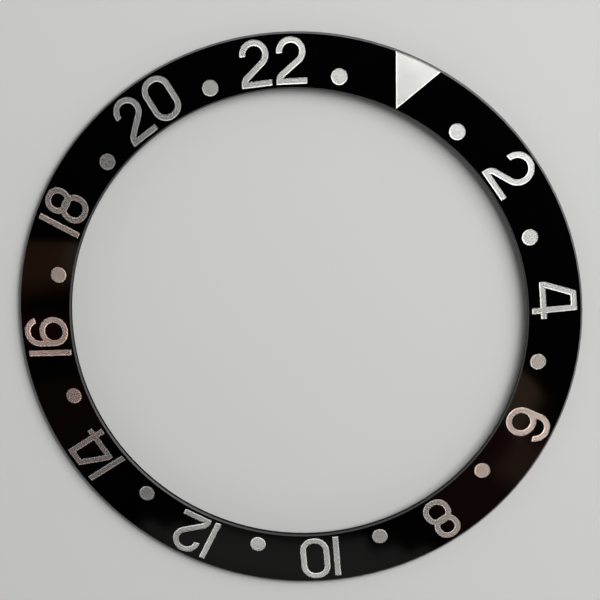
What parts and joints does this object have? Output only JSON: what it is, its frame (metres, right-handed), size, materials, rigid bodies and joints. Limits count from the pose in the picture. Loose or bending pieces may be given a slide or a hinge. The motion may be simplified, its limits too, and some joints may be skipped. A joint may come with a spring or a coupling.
{
  "type": "watch bezel insert",
  "caption": "Thin conical black ring for a watch bezel, with a clockwise 24 hour scale of silver numerals and dots and a silver zero triangle.",
  "frame": {"origin": "on the ring's axis, level with the lower corner of the rim, which is the lowest point", "axes": "+Z along the ring's axis, out of the marked face; +Y towards the zero triangle; +X towards hour 6"},
  "size_m": [0.038, 0.038, 0.0009],
  "materials": {
    "black_ring": "mirror gloss black anodised",
    "silver_fill": "fine frosted silver"
  },
  "bodies": {
    "root": {"bezel_ring": "black_ring", "zero_triangle": "silver_fill", "numeral_2": "silver_fill", "numeral_4": "silver_fill", "numeral_6": "silver_fill", "numeral_8": "silver_fill", "numeral_10_tens": "silver_fill", "numeral_12_tens": "silver_fill", "numeral_14_tens": "silver_fill", "numeral_16_tens": "silver_fill", "numeral_18_tens": "silver_fill", "numeral_20_tens": "silver_fill", "numeral_22_tens": "silver_fill", "numeral_10_units": "silver_fill", "numeral_12_units": "silver_fill", "numeral_14_units": "silver_fill", "numeral_16_units": "silver_fill", "numeral_18_units": "silver_fill", "numeral_20_units": "silver_fill", "numeral_22_units": "silver_fill", "dot_1": "silver_fill", "dot_3": "silver_fill", "dot_5": "silver_fill", "dot_7": "silver_fill", "dot_9": "silver_fill", "dot_11": "silver_fill", "dot_13": "silver_fill", "dot_15": "silver_fill", "dot_17": "silver_fill", "dot_19": "silver_fill", "dot_21": "silver_fill", "dot_23": "silver_fill"}
  },
  "joints": []
}
